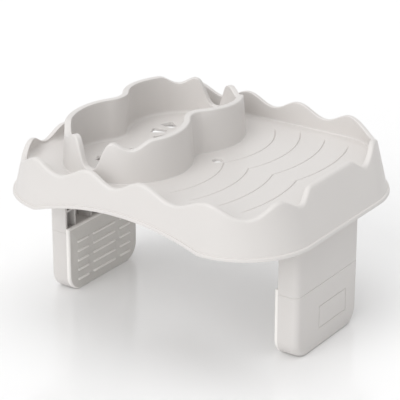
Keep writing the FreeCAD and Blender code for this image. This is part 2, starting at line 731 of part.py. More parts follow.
def make_lower_leg():
    inner = leg_inner_x()
    body = leg_plan(0, 0, LEG_SEAM_Z).common(foot_shape(-LEG_OUTER_X - 1, inner + 1, LEG_SEAM_Z, 0))
    body = body.common(rounded_sole(0))
    body = chamfered_at(body, LEG_SEAM_Z)
    back = -LEG_OUTER_X + LEG_WALL
    room = foot_shape(back - 1, inner + 2, LEG_SEAM_Z + 1, LEG_WALL)
    room = room.common(leg_hollow(0, LEG_SEAM_Z + 2)).common(rounded_sole(LEG_WALL))
    body = body.cut(room)
    adds = []
    for y in (-LEG_SCREW_Y, LEG_SCREW_Y):
        at = Vector(back - 1, y, LEG_SEAM_Z - LEG_SCREW_DROP)
        adds.append(Part.makeCylinder(BOSS_RADIUS, LEG_BOSS_LENGTH + 1, at, Vector(1, 0, 0)))
    for y in (-PEG_Y, PEG_Y):
        for z in PEG_ROWS_Z:
            adds.append(Part.makeCylinder(PEG_BOSS_RADIUS, inner - back + 1, Vector(back - 1, y, z), Vector(1, 0, 0)))
    body = body.multiFuse(adds)
    cuts = [panel_line()]
    bore = SCREW_RADIUS + SCREW_BORE_CLEARANCE
    for y in (-LEG_SCREW_Y, LEG_SCREW_Y):
        at = Vector(tongue_x() - LEG_SCREW_BITE - SCREW_BITE_SPARE, y, LEG_SEAM_Z - LEG_SCREW_DROP)
        cuts.append(Part.makeCylinder(bore, LEG_SCREW_BITE + 1, at, Vector(1, 0, 0)))
    for y in (-PEG_Y, PEG_Y):
        for z in PEG_ROWS_Z:
            at = Vector(inner - PEG_LENGTH - 1, y, z)
            cuts.append(Part.makeCylinder(PEG_RADIUS + PEG_CLEARANCE, PEG_LENGTH + 2, at, Vector(1, 0, 0)))
    return body.cut(cuts)


def grip_bar(from_y, to_y, z):
    """Raised bar with round ends and a rounded top, standing on the pad's face."""
    half = (to_y - from_y) / 2
    wire = rounded_rectangle(half, BAR_WIDTH / 2, BAR_WIDTH / 2 - 0.01, 0)
    bar = Part.Face(wire).extrude(UP * (BAR_HEIGHT + 0.5))
    bar = bar.makeChamfer(BAR_WIDTH / 4, edges_at_height(bar, BAR_HEIGHT + 0.5))
    bar = along_x(bar, leg_inner_x() + PAD_THICK - 0.5)
    bar.translate(Vector(0, (from_y + to_y) / 2, z))
    return bar


def make_grip_pad():
    inner = leg_inner_x()
    face = inner + PAD_THICK
    pad = foot_shape(inner, face, LEG_SEAM_Z + PAD_OVER_SEAM, 0)
    edges = [edge for edge in pad.Edges if edge.BoundBox.XLength < 0.01 and edge.BoundBox.XMin > face - 0.01]
    pad = pad.makeFillet(PAD_EDGE, edges)
    adds = []
    for row in range(BAR_ROWS):
        z = BAR_FIRST_Z + row * BAR_PITCH
        adds.append(grip_bar(-BAR_MIDDLE_HALF, BAR_MIDDLE_HALF, z))
        adds.append(grip_bar(BAR_SIDE_FROM, BAR_SIDE_TO, z))
        adds.append(grip_bar(-BAR_SIDE_TO, -BAR_SIDE_FROM, z))
    for y in (-PEG_Y, PEG_Y):
        for z in PEG_ROWS_Z:
            adds.append(Part.makeCylinder(PEG_RADIUS, PEG_LENGTH + 1, Vector(inner - PEG_LENGTH, y, z), Vector(1, 0, 0)))
    return pad.multiFuse(adds)


def make_screw(length):
    """Cross-head screw standing on its head's underside, with the shank up."""
    head = Part.makeCylinder(SCREW_HEAD_RADIUS, SCREW_HEAD, Vector(0, 0, -SCREW_HEAD))
    head = head.makeChamfer(SCREW_HEAD / 3, edges_at_height(head, -SCREW_HEAD))
    shank = Part.makeCylinder(SCREW_RADIUS, length - SCREW_RADIUS)
    tip = Part.makeCone(SCREW_RADIUS, SCREW_RADIUS / 2, SCREW_RADIUS, Vector(0, 0, length - SCREW_RADIUS))
    screw = head.multiFuse([shank, tip])
    half = RECESS_LENGTH / 2
    low = -SCREW_HEAD - 1
    high = -SCREW_HEAD + RECESS_DEPTH
    slots = [
        box((-half, -RECESS_WIDTH / 2, low), (half, RECESS_WIDTH / 2, high)),
        box((-RECESS_WIDTH / 2, -half, low), (RECESS_WIDTH / 2, half, high)),
    ]
    return screw.cut(slots)


def bracket_screw(y):
    screw = make_screw(BRACKET_PLATE + BOSS_LENGTH)
    screw.translate(Vector(leg_middle_x(), y, DECK_UNDER_Z - BOSS_LENGTH - BRACKET_PLATE))
    return screw


def leg_screw(y):
    screw = make_screw(TONGUE_WALL + LEG_SCREW_BITE)
    screw.rotate(Vector(0, 0, 0), Vector(0, 1, 0), -90)
    screw.translate(Vector(tongue_x() + TONGUE_WALL, y, LEG_SEAM_Z - LEG_SCREW_DROP))
    return screw


def save_both(shape, name):
    """A piece on the left, and the same piece turned half round on the right."""
    save(shape, "left_" + name)
    save(turned(shape), "right_" + name)


save(make_tray(), "tray")
save_both(make_bracket(), "leg_bracket")
save_both(make_lower_leg(), "lower_leg")
save_both(make_grip_pad(), "grip_pad")
for number, y in enumerate(BOSS_ROWS_Y):
    save_both(bracket_screw(y), "bracket_screw_" + str(number + 1))
for number, y in enumerate((-LEG_SCREW_Y, LEG_SCREW_Y)):
    save_both(leg_screw(y), "leg_screw_" + str(number + 1))
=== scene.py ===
import math

import bmesh
import bpy
from mathutils import Matrix, Vector, geometry


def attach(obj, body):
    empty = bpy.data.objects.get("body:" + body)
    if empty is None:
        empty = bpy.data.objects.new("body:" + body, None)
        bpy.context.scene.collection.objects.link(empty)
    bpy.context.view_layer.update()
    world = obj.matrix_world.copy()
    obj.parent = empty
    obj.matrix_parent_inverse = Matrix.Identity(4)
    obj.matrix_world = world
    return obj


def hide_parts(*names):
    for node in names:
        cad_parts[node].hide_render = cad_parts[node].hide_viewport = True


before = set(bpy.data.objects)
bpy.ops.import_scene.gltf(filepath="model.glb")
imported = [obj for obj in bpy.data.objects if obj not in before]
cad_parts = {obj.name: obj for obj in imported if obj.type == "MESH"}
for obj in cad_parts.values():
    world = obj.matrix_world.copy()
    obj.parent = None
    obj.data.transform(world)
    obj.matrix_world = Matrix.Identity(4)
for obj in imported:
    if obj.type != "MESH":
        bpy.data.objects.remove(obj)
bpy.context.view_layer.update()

# Shapes are worked out in millimetres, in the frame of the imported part, and turned into metres at the end
MM = 0.001

# Tray outline, measured at the foot of the skirt
TRAY_HALF_X = 206.8
TRAY_HALF_Y = 170.0
TRAY_CORNER = 92.0
# How far the wall leans in for each millimetre that it rises
LEAN_X = 0.35
LEAN_Y = 0.11
LEAN_CORNER = 0.30

# Heights and walls of the tray
SKIRT_FOOT_Z = 158.0
DECK_Z = 200.0
DECK_UNDER_Z = 196.0
SKIRT_WALL = 4.0
SKIRT_COVE = 2.0
SKIRT_LIP_EASE = 0.6
RIM_WALL = 7.0
RIM_OUTER_ROUND = 3.0
RIM_INNER_ROUND = 1.4
RIM_LEAST_FLAT = 0.6
RIM_STEPS = 720
WELL_COVE = 9.0
WELL_COVE_BACK = 2.5
# Flat edging round every sheet, so that the bend beside it keeps off the sheet's shading
EDGING = 1.2
BEAD_OUT = 2.5
BEAD_HEIGHT = 4.0
BEAD_ROUND = 0.8
BEAD_COVE = 0.4

# Wavy rim: higher along the back, lower along the sides
RIM_MEAN_Z = 216.0
RIM_SWING = 7.0
BACK_RISE = 9.5
BACK_RISE_FROM_Y = 70.0
BACK_RISE_TO_Y = 150.0
SIDE_FALL = 4.2
SIDE_FALL_FROM_X = 30.0
SIDE_FALL_TO_X = 180.0
SIDE_CREST_HALF = 43.0
CORNER_CREST_Y = 108.0
FRONT_CRESTS_X = (117.0, 24.0, -53.0, -134.0)
BACK_CRESTS_X = (120.0, 43.0, -33.0, -113.0)

# Arched lower edge
ARCH_CENTRE_X = -8.0
ARCH_HALF_SPAN = 119.0
ARCH_RISE = 20.0
ARCH_SOFTNESS = 0.45

# Cup holder: two round wells that run into each other
HOLDER_X = -66.8
HOLDER_Y = -1.6
WELL_OFFSET_Y = 58.6
WELL_RADIUS_FOOT = 80.0
WELL_LEAN = 0.068
WAIST_BLEND = 20.0
HOLDER_WALL = 8.0
HOLDER_FOOT_FILLET = 1.0
HOLDER_FLOOR_FILLET = 4.5
HOLDER_OUTER_ROUND = 1.8
HOLDER_INNER_ROUND = 1.0
HOLDER_STEPS = 210
# Rim heights at the waist, the shoulders, the scoops and the horns, and how far round from the end they lie
HOLDER_TOP_Z = 255.2
SHOULDER_Z = 252.0
SHOULDER_FROM_END = 81.0
SCOOP_Z = 241.0
SCOOP_FROM_END = 52.0
HORN_Z = 249.5
HORN_FROM_END = 27.0
# Flared notch for a mug's handle at both ends
NOTCH_FLOOR_Z = 213.5
NOTCH_FLARE = 17.0
NOTCH_RISE = 0.001
NOTCH_REACH = 30.0
NOTCH_SOFTNESS = 2.0
NOTCH_STEPS = 72

# Drain slots, drain hole and ripple grooves
PETALS_PER_WELL = 8
PETAL_INNER = 22.0
PETAL_OUTER = 41.0
PETAL_HALF_ANGLE = math.radians(12.5)
PETAL_CORNER = 2.5
HOLE_EDGE = 0.5
DRAIN_X = 24.0
DRAIN_RADIUS = 6.5
DRAIN_SIDES = 40
RIPPLE_FIRST_RADIUS = 117.0
RIPPLE_PITCH = 32.0
RIPPLE_FRONT_ANGLES = (33.0, 28.5, 21.0, 18.0)
RIPPLE_BACK_ANGLES = (44.0, 37.5, 27.5, 22.0)
RIPPLE_HALF_WIDTH = 1.0
RIPPLE_DEPTH = 1.5
RIPPLE_FADE = 14.0
RIPPLE_END_LEAD = 2.0
RIPPLE_STEPS = 60
# Lines of points along each groove, in half widths from its bottom
RIPPLE_SIDES = (-1.8, -1, 0, 1, 1.8)

# Underside: ribs, bracket sockets and screw bosses
RIB_THICK = 2.5
RIB_DEPTH = 10.0
RIB_ROWS_Y = (13.0, 118.0)
RIB_DRAIN_CLEAR = 24.0
SOCKET_INNER_X = (158.2, 186.0)
SOCKET_HALF_Y = 72.3
SOCKET_WALL = 2.5
SOCKET_DEPTH = 14.0
SOCKET_CORNER = 12.3
SOCKET_INNER_CORNER = 0.3
SOCKET_COLLAR_CORNER = 1.0
BOSS_X = 172.1
BOSS_RADIUS = 4.5
BOSS_LENGTH = 8.0
BOSS_BORE = 2.05
BOSS_SIDES = 24
BOSS_ROWS_Y = (-60.4, -34.5, 34.5, 60.4)
# How far ribs, sockets and bosses run up into the deck
SINK = 1.5

# Legs, each with its outer side away from the middle of the tray
LEG_OUTER_X = 185.7
LEG_INNER_X = 158.5
LEG_HALF_Y = 72.0
LEG_WALL = 3.0
LEG_CORNER = 9.0
LEG_FOOT_ROUND = 23.0
LEG_SOLE_ROUND = 4.0
LEG_SEAM_Z = 83.0
LEG_SEAM_EASE = 0.6
# Heights of a row of points between the rounded foot and the seam, and between the seam and the top
LOWER_LEG_ROW_Z = 50.0
BRACKET_ROW_Z = 135.0
# Least distance of a row of points from the top of the sole's rounding
LEG_ROW_GAP = 0.2
BRACKET_TOP_Z = 188.0
BRACKET_PLATE = 3.0
BRACKET_RIB = 2.5
BRACKET_RIB_ROWS_Y = (-51.75, -17.25, 17.25, 51.75)
BRACKET_SHELF_Z = 110.0
BRACKET_RIB_SETBACK = 1.0
# Outlined plain panel on the outer side of each lower leg
PANEL_HALF_Y = 32.0
PANEL_HALF_Z = 15.0
PANEL_Y = -10.5
PANEL_Z = 40.0
PANEL_LINE = 1.2
PANEL_LINE_DEPTH = 0.5
PANEL_CORNER = 2.0
# Inner face of each grip pad, between its raised bars, and the rounding of the pad's edges
PAD_FACE_X = 153.5
PAD_FACE_SLACK = 0.1
PAD_EDGE_ROUND = 0.5
# Edges of a node's mesh that are flat, and that are sharp enough to round, in degrees
FLAT_ANGLE = 1.0
SHARP_ANGLE = 35.0
# Edges up to these angles are shaded as smooth, in degrees
SMOOTH_ANGLE = 30.0
TRAY_SMOOTH_ANGLE = 38.0


class Shell:
    """Points and faces of one piece, gathered in millimetres."""

    def __init__(self):
        self.points = []
        self.faces = []

    def add_points(self, points):
        start = len(self.points)
        self.points.extend(Vector(point) for point in points)
        return list(range(start, len(self.points)))

    def add_grid(self, rows, closed):
        """Quads between neighbouring rows of points; a closed grid joins its last row to its first."""
        indices = [self.add_points(row) for row in rows]
        pairs = list(zip(indices, indices[1:]))
        if closed:
            pairs.append((indices[-1], indices[0]))
        for first, second in pairs:
            for i in range(len(first) - 1):
                self.faces.append((first[i], first[i + 1], second[i + 1], second[i]))

    def add_sheet(self, outer, holes, z, upwards, lines=(), depths=(), turned=None):
        """Flat triangulated sheet inside one loop, with holes and with lines pressed into it."""
        points = []
        edges = []
        for loop in [outer] + list(holes):
            start = len(points)
            points.extend((p[0], p[1]) for p in loop)
            count = len(loop)
            edges.extend((start + i, start + (i + 1) % count) for i in range(count))
        drop = [0.0] * len(points)
        for line, depth in zip(lines, depths):
            start = len(points)
            points.extend((p[0], p[1]) for p in line)
            edges.extend((start + i, start + i + 1) for i in range(len(line) - 1))
            drop.extend(depth)
        flat = [Vector(point) for point in points]
        found, _, triangles, origins, _, _ = geometry.delaunay_2d_cdt(flat, edges, [], 0, 1e-5)
        heights = []
        for origin in origins:
            heights.append(z - max((drop[i] for i in origin), default=0.0))
        points = [(p.x, p.y, height) for p, height in zip(found, heights)]
        indices = self.add_points(turned(*point) if turned else point for point in points)
        inside = LoopTest(outer, holes)
        for triangle in triangles:
            centre = sum((found[i] for i in triangle), Vector((0, 0))) / 3
            if inside.holds(centre):
                face = [indices[i] for i in triangle]
                a, b, c = (found[i] for i in triangle)
                turns_left = (b - a).cross(c - a) > 0
                self.faces.append(tuple(face if turns_left == upwards else reversed(face)))

    def add_prism(self, outer, low_z, high_z):
        """Closed upright block over a loop of points."""
        count = len(outer)
        low = self.add_points((p[0], p[1], low_z) for p in outer)
        high = self.add_points((p[0], p[1], high_z) for p in outer)
        for i in range(count):
            j = (i + 1) % count
            self.faces.append((low[i], low[j], high[j], high[i]))
        self.faces.append(tuple(reversed(low)))
        self.faces.append(tuple(high))

    def add_ring(self, outer, inner, low_z, high_z):
        """Closed upright ring between two loops with the same number of points."""
        rows = []
        for a, b in zip(outer, inner):
            section = [(a[0], a[1], high_z), (a[0], a[1], low_z), (b[0], b[1], low_z), (b[0], b[1], high_z)]
            rows.append(section + section[:1])
        self.add_grid(rows, True)

    def build(self, name):
        mesh = bpy.data.meshes.new(name)
        mesh.from_pydata([tuple(point * MM) for point in self.points], [], self.faces)
        work = bmesh.new()
        work.from_mesh(mesh)
        bmesh.ops.remove_doubles(work, verts=work.verts, dist=2e-6)
        bmesh.ops.recalc_face_normals(work, faces=work.faces)
        work.to_mesh(mesh)
        work.free()
        piece = bpy.data.objects.new(name, mesh)
        bpy.context.scene.collection.objects.link(piece)
        return piece


class LoopTest:
    """Tells whether a flat point is inside an outer loop and outside every hole."""

    def __init__(self, outer, holes):
        self.outer = outer
        self.holes = [(loop, self.reach(loop)) for loop in holes]

    @staticmethod
    def reach(loop):
        xs = [p[0] for p in loop]
        ys = [p[1] for p in loop]
        return min(xs), max(xs), min(ys), max(ys)

    @staticmethod
    def in_loop(loop, x, y):
        inside = False
        last = loop[-1]
        for point in loop:
            if (point[1] > y) != (last[1] > y):
                share = (y - point[1]) / (last[1] - point[1])
                if x < point[0] + share * (last[0] - point[0]):
                    inside = not inside
            last = point
        return inside

    def holds(self, point):
        x, y = point
        for loop, (low_x, high_x, low_y, high_y) in self.holes:
            near = low_x <= x <= high_x and low_y <= y <= high_y
            if near and self.in_loop(loop, x, y):
                return False
        return self.in_loop(self.outer, x, y)


def blend(share):
    share = min(max(share, 0.0), 1.0)
    return share * share * (3 - 2 * share)


def spread(start, end, count):
    """Evenly spaced numbers from start to end, without the start."""
    return [start + (end - start) * (i + 1) / count for i in range(count)]


def tray_half_sizes(z, inset):
    rise = z - SKIRT_FOOT_Z
    half_x = TRAY_HALF_X - LEAN_X * rise - inset
    half_y = TRAY_HALF_Y - LEAN_Y * rise - inset
    corner = TRAY_CORNER - LEAN_CORNER * rise - inset
    return half_x, half_y, corner


def rim_path_lengths():
    half_x, half_y, corner = tray_half_sizes(RIM_MEAN_Z, 0)
    return half_y - corner, corner * math.pi / 2, half_x - corner


def rim_point(place, z, inset):
    """Point at a distance along the nominal rim, from the middle of the right wall towards the front."""
    side, bend, front = rim_path_lengths()
    half_x, half_y, corner = tray_half_sizes(z, inset)
    quarter = side + bend + front
    turn = int(place // quarter) % 4
    along = place % quarter
    if turn in (1, 3):
        along = quarter - along
    if along <= side:
        x = half_x
        y = along / side * (half_y - corner)
    elif along <= side + bend:
        angle = (along - side) / bend * math.pi / 2
        x = half_x - corner + corner * math.cos(angle)
        y = half_y - corner + corner * math.sin(angle)
    else:
        x = (quarter - along) / front * (half_x - corner)
        y = half_y
    sign_x = 1 if turn in (0, 3) else -1
    sign_y = -1 if turn in (0, 1) else 1
    return Vector((sign_x * x, sign_y * y, z))


def rim_crests():
    """Start and end of every crest along the rim; the side walls' crests are long and flat."""
    quarter = sum(rim_path_lengths())
    crests = [(-SIDE_CREST_HALF, SIDE_CREST_HALF), (CORNER_CREST_Y, CORNER_CREST_Y)]
    for x in FRONT_CRESTS_X:
        crests.append((quarter - x, quarter - x))
    crests.append((2 * quarter - CORNER_CREST_Y, 2 * quarter - CORNER_CREST_Y))
    crests.append((2 * quarter - SIDE_CREST_HALF, 2 * quarter + SIDE_CREST_HALF))
    crests.append((2 * quarter + CORNER_CREST_Y, 2 * quarter + CORNER_CREST_Y))
    for x in reversed(BACK_CRESTS_X):
        crests.append((3 * quarter + x, 3 * quarter + x))
    crests.append((4 * quarter - CORNER_CREST_Y, 4 * quarter - CORNER_CREST_Y))
    crests.append((4 * quarter - SIDE_CREST_HALF, 4 * quarter + SIDE_CREST_HALF))
    return crests


RIM_CRESTS = rim_crests()


def back_share(y):
    return blend((y - BACK_RISE_FROM_Y) / (BACK_RISE_TO_Y - BACK_RISE_FROM_Y))


def rim_height(place):
    wave = 1.0
    for before, after in zip(RIM_CRESTS, RIM_CRESTS[1:]):
        start = before[1]
        end = after[0]
        if start < place < end:
            wave = math.cos(2 * math.pi * (place - start) / (end - start))
    point = rim_point(place, RIM_MEAN_Z, 0)
    rise = BACK_RISE * back_share(point.y)
    fall = SIDE_FALL * blend((abs(point.x) - SIDE_FALL_FROM_X) / (SIDE_FALL_TO_X - SIDE_FALL_FROM_X))
    return RIM_MEAN_Z + RIM_SWING * wave + rise - fall


def foot_height(place):
    """Height of the lower edge, arched along the front and the back."""
    away = rim_point(place, SKIRT_FOOT_Z, 0).x - ARCH_CENTRE_X
    radius = (ARCH_HALF_SPAN ** 2 + ARCH_RISE ** 2) / (2 * ARCH_RISE)
    rise = math.sqrt(radius ** 2 - away ** 2) - radius + ARCH_RISE
    return SKIRT_FOOT_Z + (rise + math.sqrt(rise ** 2 + ARCH_SOFTNESS ** 2)) / 2


def wall_section(place):
    """Section of the tray's wall from the deck over the rim to the underside, as insets and heights."""
    rim = rim_height(place)
    foot = foot_height(place)
    cove = WELL_COVE + (WELL_COVE_BACK - WELL_COVE) * back_share(rim_point(place, RIM_MEAN_Z, 0).y)
    cove_rise = min(cove, rim - DECK_Z - RIM_INNER_ROUND - RIM_LEAST_FLAT)
    section = [(RIM_WALL + cove + EDGING, DECK_Z)]
    for step in range(9):
        angle = math.pi / 2 * step / 8
        inset = RIM_WALL + cove * (1 - math.sin(angle))
        section.append((inset, DECK_Z + cove_rise * (1 - math.cos(angle))))
    for z in spread(DECK_Z + cove_rise, rim - RIM_INNER_ROUND, 4):
        section.append((RIM_WALL, z))
    for angle in spread(0, math.pi / 2, 5):
        inset = RIM_WALL - RIM_INNER_ROUND * (1 - math.cos(angle))
        section.append((inset, rim - RIM_INNER_ROUND * (1 - math.sin(angle))))
    for angle in [0] + spread(0, math.pi / 2, 6):
        inset = RIM_OUTER_ROUND * (1 - math.sin(angle))
        section.append((inset, rim - RIM_OUTER_ROUND * (1 - math.cos(angle))))
    bead_top = foot + BEAD_HEIGHT
    for z in spread(rim - RIM_OUTER_ROUND, bead_top + BEAD_COVE, 10):
        section.append((0, z))
    for angle in spread(0, math.pi / 2, 3):
        inset = -BEAD_COVE * (1 - math.cos(angle))
        section.append((inset, bead_top + BEAD_COVE * (1 - math.sin(angle))))
    for angle in [0] + spread(0, math.pi / 2, 4):
        inset = -BEAD_OUT + BEAD_ROUND * (1 - math.sin(angle))
        section.append((inset, bead_top - BEAD_ROUND * (1 - math.cos(angle))))
    for angle in [0] + spread(0, math.pi / 2, 4):
        inset = -BEAD_OUT + BEAD_ROUND * (1 - math.cos(angle))
        section.append((inset, foot + BEAD_ROUND * (1 - math.sin(angle))))
    section.append((SKIRT_WALL - SKIRT_LIP_EASE, foot))
    section.append((SKIRT_WALL - SKIRT_LIP_EASE / 3, foot + SKIRT_LIP_EASE / 3))
    section.append((SKIRT_WALL, foot + SKIRT_LIP_EASE))
    for z in spread(foot + SKIRT_LIP_EASE, DECK_UNDER_Z - SKIRT_COVE, 5):
        section.append((SKIRT_WALL, z))
    for angle in spread(0, math.pi / 2, 4):
        inset = SKIRT_WALL + SKIRT_COVE * (1 - math.cos(angle))
        section.append((inset, DECK_UNDER_Z - SKIRT_COVE * (1 - math.sin(angle))))
    section.append((SKIRT_WALL + SKIRT_COVE + EDGING, DECK_UNDER_Z))
    return section


def well_radius(z):
    return WELL_RADIUS_FOOT - WELL_LEAN * (z - DECK_Z)


def holder_path():
    """Rim's arc from the end of a well to the waist, length of the waist, and the waist's half angle."""
    reach = WELL_RADIUS_FOOT + WAIST_BLEND
    radius = well_radius(HOLDER_TOP_Z)
    waist_angle = math.asin(WELL_OFFSET_Y / reach)
    return radius * (math.pi / 2 + waist_angle), 2 * waist_angle * (reach - radius), waist_angle


def holder_point(place, z, inset):
    """Point at a distance round the holder: from its front end, up its right side and down its left."""
    arc, waist, waist_angle = holder_path()
    length = 2 * arc + waist
    place = place % (2 * length)
    side = 1
    if place > length:
        side = -1
        place = 2 * length - place
    reach = WELL_RADIUS_FOOT + WAIST_BLEND
    radius = well_radius(z) - inset
    if place < arc or place > arc + waist:
        from_end = place if place < arc else length - place
        end = -1 if place < arc else 1
        angle = from_end / arc * (math.pi / 2 + waist_angle)
        x = radius * math.sin(angle)
        y = end * (WELL_OFFSET_Y + radius * math.cos(angle))
    else:
        angle = waist_angle * (2 * (place - arc) / waist - 1)
        round_waist = reach - radius
        x = math.sqrt(reach ** 2 - WELL_OFFSET_Y ** 2) - round_waist * math.cos(angle)
        y = round_waist * math.sin(angle)
    return Vector((HOLDER_X + side * x, HOLDER_Y + y, z))


def holder_rim(from_end):
    """Height of the holder's rim: smooth swings from horn to scoop, to shoulder and up to the waist."""
    arc, waist, _ = holder_path()
    stops = [(0, HORN_Z), (HORN_FROM_END, HORN_Z), (SCOOP_FROM_END, SCOOP_Z)]
    stops += [(SHOULDER_FROM_END, SHOULDER_Z), (arc + waist / 2, HOLDER_TOP_Z)]
    height = HORN_Z
    for (start, low), (end, high) in zip(stops, stops[1:]):
        if from_end >= start:
            share = min((from_end - start) / (end - start), 1)
            height = low + (high - low) * (1 - math.cos(math.pi * share)) / 2
    return height


def softly_lower(first, second):
    """The lower of two heights, rounded where they cross."""
    return (first + second - math.sqrt((first - second) ** 2 + NOTCH_SOFTNESS ** 2)) / 2


def notch_path():
    """Rim from one side of a handle notch to the other: pairs of distance along the wall and height."""
    radius = well_radius(HOLDER_TOP_Z)
    depth = HORN_Z - NOTCH_FLOOR_Z
    path = []
    for step in range(NOTCH_STEPS + 1):
        place = NOTCH_REACH * (2 * step / NOTCH_STEPS - 1)
        away = abs(radius * math.sin(place / radius))
        flare = NOTCH_FLOOR_Z + depth * (1 - math.exp(-(away / NOTCH_FLARE) ** 3)) + NOTCH_RISE * away ** 2
        path.append((place, softly_lower(flare, holder_rim(abs(place)))))
    return path


def holder_stations():
    """Rim and foot of every upright line of the holder's wall: rim place, rim height and foot place."""
    arc, waist, _ = holder_path()
    length = 2 * arc + waist
    notch = notch_path()
    run = [0.0]
    for before, after in zip(notch, notch[1:]):
        run.append(run[-1] + math.dist(before, after))
    stations = []
    for start in (0.0, length):
        for (along, z), gone in zip(notch[:-1], run):
            stations.append((start + along, z, start - NOTCH_REACH + 2 * NOTCH_REACH * gone / run[-1]))
        for from_end in [NOTCH_REACH] + spread(NOTCH_REACH, length - NOTCH_REACH, HOLDER_STEPS)[:-1]:
            z = holder_rim(min(from_end, length - from_end))
            stations.append((start + from_end, z, start + from_end))
    return stations


def holder_section(stations, index):
    """Points of one upright line round the holder's wall, from the floor over the rim to the deck."""
    place, rim, foot_place = stations[index]
    before = stations[index - 1]
    after = stations[(index + 1) % len(stations)]
    arc, waist, _ = holder_path()
    loop = 2 * (2 * arc + waist)
    step_along = (after[0] - before[0] + loop / 2) % loop - loop / 2
    step_up = after[1] - before[1]
    size = math.hypot(step_along, step_up)
    out_along = -step_up / size
    out_up = step_along / size

    def rim_point_at(inset, depth):
        return place - out_along * depth, rim - out_up * depth, inset

    line = [(foot_place, DECK_Z, HOLDER_WALL + HOLDER_FLOOR_FILLET + EDGING)]
    for step in range(7):
        angle = math.pi / 2 * step / 6
        inset = HOLDER_WALL + HOLDER_FLOOR_FILLET * (1 - math.sin(angle))
        line.append((foot_place, DECK_Z + HOLDER_FLOOR_FILLET * (1 - math.cos(angle)), inset))
    start = line[-1]
    end = rim_point_at(HOLDER_WALL, HOLDER_INNER_ROUND)
    for share in spread(0, 1, 8):
        line.append(tuple(s + (e - s) * share for s, e in zip(start, end)))
    for angle in spread(0, math.pi / 2, 5):
        inset = HOLDER_WALL - HOLDER_INNER_ROUND * (1 - math.cos(angle))
        line.append(rim_point_at(inset, HOLDER_INNER_ROUND * (1 - math.sin(angle))))
    for angle in [0] + spread(0, math.pi / 2, 5):
        inset = HOLDER_OUTER_ROUND * (1 - math.sin(angle))
        line.append(rim_point_at(inset, HOLDER_OUTER_ROUND * (1 - math.cos(angle))))
    start = line[-1]
    end = (foot_place, DECK_Z + HOLDER_FOOT_FILLET, 0)
    for share in spread(0, 1, 8):
        line.append(tuple(s + (e - s) * share for s, e in zip(start, end)))
    for angle in spread(0, math.pi / 2, 5):
        inset = -HOLDER_FOOT_FILLET * (1 - math.cos(angle))
        line.append((foot_place, DECK_Z + HOLDER_FOOT_FILLET * (1 - math.sin(angle)), inset))
    line.append((foot_place, DECK_Z, -HOLDER_FOOT_FILLET - EDGING))
    return [holder_point(*point) for point in line]


def petal_loop(centre_y, turn, grow):
    """Outline of one drain slot: a sector of a ring with rounded corners."""
    middle = (PETAL_INNER + PETAL_OUTER) / 2
    half_out = (PETAL_OUTER - PETAL_INNER) / 2 + grow
    half_across = middle * PETAL_HALF_ANGLE + grow
    corner = PETAL_CORNER + grow
    loop = []
    for sign_out, sign_across, start in ((1, 1, 0), (-1, 1, 1), (-1, -1, 2), (1, -1, 3)):
        for step in range(6):
            angle = math.pi / 2 * (start + step / 5)
            out = sign_out * (half_out - corner) + corner * math.cos(angle)
            across = sign_across * (half_across - corner) + corner * math.sin(angle)
            radius = middle + out
            swing = turn + across / middle
            loop.append((HOLDER_X + radius * math.cos(swing), centre_y + radius * math.sin(swing)))
    return loop


def circle_loop(x, y, radius, count):
    turns = [2 * math.pi * i / count for i in range(count)]
    return [(x + radius * math.cos(turn), y + radius * math.sin(turn)) for turn in turns]


def hole_loops(grow):
    """Loops of all drain slots, and the loop of the drain hole."""
    loops = []
    for centre_y in (HOLDER_Y - WELL_OFFSET_Y, HOLDER_Y + WELL_OFFSET_Y):
        for index in range(PETALS_PER_WELL):
            turn = 2 * math.pi * (index + 0.5) / PETALS_PER_WELL
            loops.append(petal_loop(centre_y, turn, grow))
    return loops, circle_loop(DRAIN_X, 0, DRAIN_RADIUS + grow, DRAIN_SIDES)


def hole_section(outer, edge, bore):
    """Points over the rounded edge of a hole and down through the deck."""
    eased_x = (edge[0] + 2 * bore[0]) / 3
    eased_y = (edge[1] + 2 * bore[1]) / 3
    section = [(*outer, DECK_Z), (*edge, DECK_Z), (eased_x, eased_y, DECK_Z - 0.4 * HOLE_EDGE)]
    return section + [(*bore, DECK_Z - HOLE_EDGE), (*bore, DECK_UNDER_Z)]


def ripple_lines():
    """Five lines for every ripple groove, four at deck height and one at its bottom, with their depths."""
    lines = []
    depths = []
    for ripple, (front_angle, back_angle) in enumerate(zip(RIPPLE_FRONT_ANGLES, RIPPLE_BACK_ANGLES)):
        radius = RIPPLE_FIRST_RADIUS + ripple * RIPPLE_PITCH
        front_y = -WELL_OFFSET_Y - radius * math.sin(math.radians(front_angle))
        back_y = WELL_OFFSET_Y + radius * math.sin(math.radians(back_angle))
        along = [front_y - (front_y * i / RIPPLE_STEPS) for i in range(RIPPLE_STEPS)]
        along += [back_y * i / RIPPLE_STEPS for i in range(RIPPLE_STEPS + 1)]
        for side in RIPPLE_SIDES:
            line = []
            depth = []
            for index, y in enumerate(along):
                end = min(y - front_y, back_y - y)
                width = RIPPLE_HALF_WIDTH * blend((end + RIPPLE_END_LEAD) / RIPPLE_FADE)
                if abs(side) == 1 and index in (0, len(along) - 1):
                    width = 0
                away = abs(y) - WELL_OFFSET_Y
                reach = radius + side * width
                line.append((HOLDER_X + math.sqrt(reach ** 2 - away ** 2), HOLDER_Y + y))
                depth.append(RIPPLE_DEPTH * blend(end / RIPPLE_FADE) if side == 0 else 0.0)
            lines.append(line)
            depths.append(depth)
    return lines, depths


